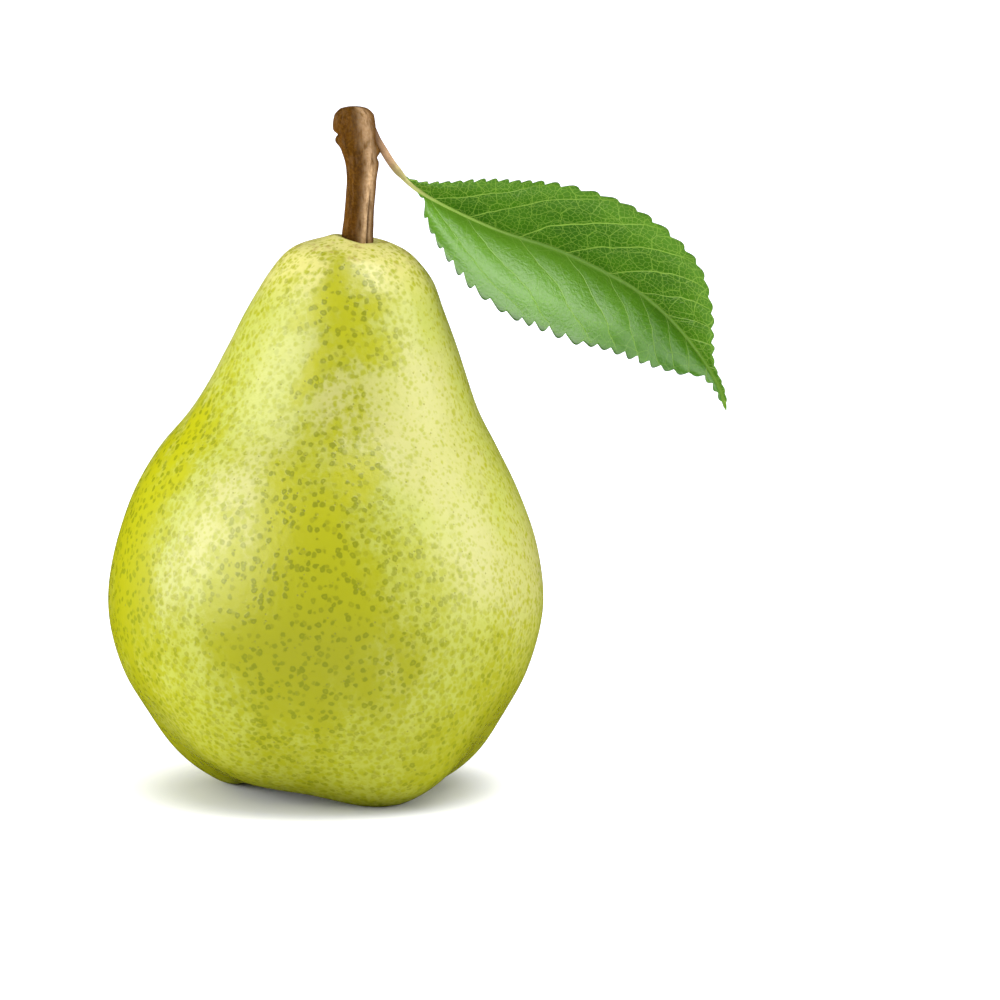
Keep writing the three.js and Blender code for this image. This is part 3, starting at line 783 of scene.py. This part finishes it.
SEPALS, SEPAL_LENGTH = 5, 3.6
SEPAL_FOOT_RADIUS, SEPAL_FOOT_HEIGHT, SEPAL_DROOP = 2.7, 5.3, 1.9
SEPAL_OUTLINE = [(0, 0), (0.15, 1.1), (0.35, 1.3), (0.7, 0.7), (1, 0)]  # share of the length, half width
SEPAL_HALF_THICKNESS = 0.16
SEPAL_CUP, SEPAL_CRUMPLE = 0.35, 0.25
STAMENS, STAMEN_RADIUS, STAMEN_RING_RADIUS = 10, 0.14, 1.25
STAMEN_TOP, STAMEN_LENGTH = 7.0, 3.4
STAMEN_CURL, STAMEN_SWAY = 0.35, 0.2
STAMEN_HEAD_PLACE, STAMEN_HEAD_SPREAD, STAMEN_HEAD_SWELL = 0.93, 0.06, 0.5
DRIED_AROUND, DRIED_ALONG, SEPAL_STEPS = 16, 24, 60
DRIED_BUMPS = 0.1

DRIED_BROWN = (0.085, 0.05, 0.025, 1)
DRIED_DARK = (0.02, 0.012, 0.007, 1)
DRIED_TAN = (0.26, 0.17, 0.09, 1)

dried_material, tree, shader, place = new_material("Dried blossom")
colour = mixed(tree, patchy(tree, place, 0.8, 0.35, 0.65), DRIED_DARK, DRIED_BROWN)
pale_patches = times(tree, patchy(tree, place, 0.4, 0.55, 0.7), 0.6)
colour = mixed(tree, pale_patches, colour, DRIED_TAN)
join(tree, colour, shader, "Base Color")
shader.inputs["Roughness"].default_value = 0.85
wrinkles = patchy(tree, place, 0.25, 0.3, 0.7)
join(tree, bumpy(tree, wrinkles, 0.6, DRIED_BUMPS), shader, "Normal")

along = np.linspace(0, 1, DRIED_ALONG)[:, None]
turn = np.linspace(0, FULL_TURN, DRIED_AROUND, endpoint=False)[None, :]
rounded = np.minimum(1, 6 * along * (1 - along))
outline = smooth_curve(SEPAL_OUTLINE, np.linspace(0, 1, SEPAL_STEPS))
sepal_width = np.interp(along, outline[:, 0], outline[:, 1])
for i in range(SEPALS):
    heading = FIRST_LOBE + (i + 0.5) * FULL_TURN / SEPALS
    sideways = sepal_width * np.cos(turn)
    outwards = SEPAL_FOOT_RADIUS + SEPAL_LENGTH * along
    cupped = SEPAL_CUP * (sideways**2 - sepal_width**2)
    crumpled = SEPAL_CRUMPLE * np.sin(3 * sideways + 5 * along + 2 * i) * along * rounded
    sepal_height = (
        SEPAL_FOOT_HEIGHT
        - SEPAL_DROOP * along**2
        + SEPAL_HALF_THICKNESS * rounded * np.sin(turn)
        + cupped
        + crumpled
    )
    points = np.stack(
        [
            AXIS_X + outwards * math.cos(heading) - sideways * math.sin(heading),
            outwards * math.sin(heading) + sideways * math.cos(heading),
            sepal_height,
        ],
        axis=-1,
    )
    sepal = closed_piece(f"dried_sepal_{i + 1}", points)
    finish_piece(sepal, dried_material, "dried_blossom", f"sepal_{i + 1}")
for i in range(STAMENS):
    heading = i * FULL_TURN / STAMENS
    curl = STAMEN_CURL * (1 if i % 2 else -1)
    hanging = 1 - along
    from_middle = STAMEN_RING_RADIUS + curl * hanging**2 + 0 * turn
    sway = STAMEN_SWAY * np.sin(4 * hanging + 1.7 * i) * hanging
    head = STAMEN_HEAD_SWELL * bell(hanging - STAMEN_HEAD_PLACE, STAMEN_HEAD_SPREAD)
    thread_radius = STAMEN_RADIUS * rounded * (1 + head)
    points = np.stack(
        [
            AXIS_X
            + from_middle * math.cos(heading)
            - sway * math.sin(heading)
            + thread_radius * np.cos(turn),
            from_middle * math.sin(heading) + sway * math.cos(heading) + thread_radius * np.sin(turn),
            STAMEN_TOP - STAMEN_LENGTH * hanging + 0 * turn,
        ],
        axis=-1,
    )
    number = f"{i + 1:02d}"
    stamen = closed_piece(f"dried_stamen_{number}", points)
    finish_piece(stamen, dried_material, "dried_blossom", f"stamen_{number}")

# ---------------------------------------------------------------------------------------------------------
# The table is a wide sheet of pale, matt board that the pear stands on. It glows softly except close to the
# pear, so that it fades into the pale background and keeps only the shadow round the foot.

TABLE_SIDE = 6.0
TABLE_WHITE = (0.86, 0.865, 0.955, 1)
TABLE_GREY = (0.8, 0.8, 0.8, 1)
BOARD_DARK, BOARD_GLOW = (0.0, 0.0, 0.0, 1), (0.5, 0.5, 0.5, 1)
GLOW_FROM, GLOW_FULL = 22, 40  # distances from the fruit's axis, in mm

table_mesh = bpy.data.meshes.new("table")
half_side = TABLE_SIDE / 2
table_corners = [(x * half_side, y * half_side, 0) for x, y in ((-1, -1), (1, -1), (1, 1), (-1, 1))]
table_mesh.from_pydata(table_corners, [], [(0, 1, 2, 3)])
table = bpy.data.objects.new("table", table_mesh)
bpy.context.scene.collection.objects.link(table)
table_material, tree, shader, place = new_material("Pale matt board")
faint_patches = times(tree, patchy(tree, place, 40, 0.3, 0.7), 0.02)
colour = mixed(tree, faint_patches, TABLE_WHITE, TABLE_GREY)
join(tree, colour, shader, "Base Color")
shader.inputs["Roughness"].default_value = 0.9
shader.inputs["Specular IOR Level"].default_value = 0.1
shader.inputs["Emission Strength"].default_value = 1.0
from_pear = add_node(
    tree, "VectorMath", {0: place, 1: (AXIS_X, 0, 0)}, operation="DISTANCE"
).outputs["Value"]
glow = mixed(tree, ramp(tree, from_pear, GLOW_FROM, GLOW_FULL), BOARD_DARK, BOARD_GLOW)
join(tree, glow, shader, "Emission Color")
table_mesh.materials.append(table_material)
table.visible_glossy = False

# ---------------------------------------------------------------------------------------------------------
# The light is that of a small studio: a bright room, two large cards at the left and right that only show as
# broad pale reflections in the wax, two fill lamps that only light the sides, and a softbox overhead.

ROOM_LIGHT = 0.92
world = bpy.data.worlds.new("Studio")
world.use_nodes = True
bpy.context.scene.world = world
background = world.node_tree.nodes["Background"]
background.inputs["Color"].default_value = (1, 1, 1, 1)
background.inputs["Strength"].default_value = ROOM_LIGHT
world.cycles_visibility.glossy = False
world.cycles.sampling_method = "NONE"  # so that the room stays out of the reflections

PEAR_MIDDLE = Vector((AXIS_X * MM, 0, 0.05))
LAMP_MIDDLE = (0.5, 0.5, 0)  # each lamp is brightest in its middle and fades to nothing at its edge
LAMPS = {  # azimuth from the camera's direction, height angle, distance, width, height, power
    "left_card": (-63, 24, 0.62, 1.2, 1.1, 20.0),
    "right_card": (78, 22, 0.62, 1.2, 1.1, 12.0),
    "left_fill": (-98, 4, 0.62, 0.8, 0.5, 20.0),
    "right_fill": (95, 8, 0.62, 0.8, 0.6, 6.0),
    "top_softbox": (60, 68, 0.75, 0.9, 0.9, 16.0),
}
for name, (azimuth, elevation, distance, width, tall, power) in LAMPS.items():
    light = bpy.data.lights.new(name, "AREA")
    light.shape = "RECTANGLE"
    light.size = width
    light.size_y = tall
    light.energy = power
    light.use_nodes = True
    tree = light.node_tree
    across_box = add_node(tree, "NewGeometry").outputs["Parametric"]
    from_middle = add_node(tree, "VectorMath", {0: across_box, 1: LAMP_MIDDLE}, operation="DISTANCE")
    soft_edge = ramp(tree, from_middle.outputs["Value"], 0.0, 0.5, 1.0, 0.0)
    tree.links.new(soft_edge, tree.nodes["Emission"].inputs["Strength"])
    lamp = bpy.data.objects.new(name, light)
    bpy.context.scene.collection.objects.link(lamp)
    level = math.cos(math.radians(elevation))
    direction = Vector(
        (
            math.sin(math.radians(azimuth)) * level,
            -math.cos(math.radians(azimuth)) * level,
            math.sin(math.radians(elevation)),
        )
    )
    lamp.location = PEAR_MIDDLE + direction * distance
    lamp.rotation_euler = direction.to_track_quat("Z", "Y").to_euler()
    lamp.visible_camera = False
    lamp.visible_diffuse = not name.endswith("card")
    lamp.visible_glossy = not name.endswith("fill")

# ---------------------------------------------------------------------------------------------------------
# The camera stands in front of the pear and looks down at it a little. Its long lens and its distance keep
# the perspective calm. It aims between the fruit and the leaf.

CAMERA_TARGET = Vector((0.0139, 0, 0.049))
CAMERA_DISTANCE = 2.325
CAMERA_LENS = 500
CAMERA_ELEVATION = math.radians(10)

camera_data = bpy.data.cameras.new("camera")
camera_data.lens = CAMERA_LENS
camera = bpy.data.objects.new("camera", camera_data)
bpy.context.scene.collection.objects.link(camera)
camera.location = CAMERA_TARGET + CAMERA_DISTANCE * Vector(
    (0, -math.cos(CAMERA_ELEVATION), math.sin(CAMERA_ELEVATION))
)
camera.rotation_euler = (math.pi / 2 - CAMERA_ELEVATION, 0, 0)
bpy.context.scene.camera = camera
bpy.context.scene.view_settings.view_transform = "Standard"
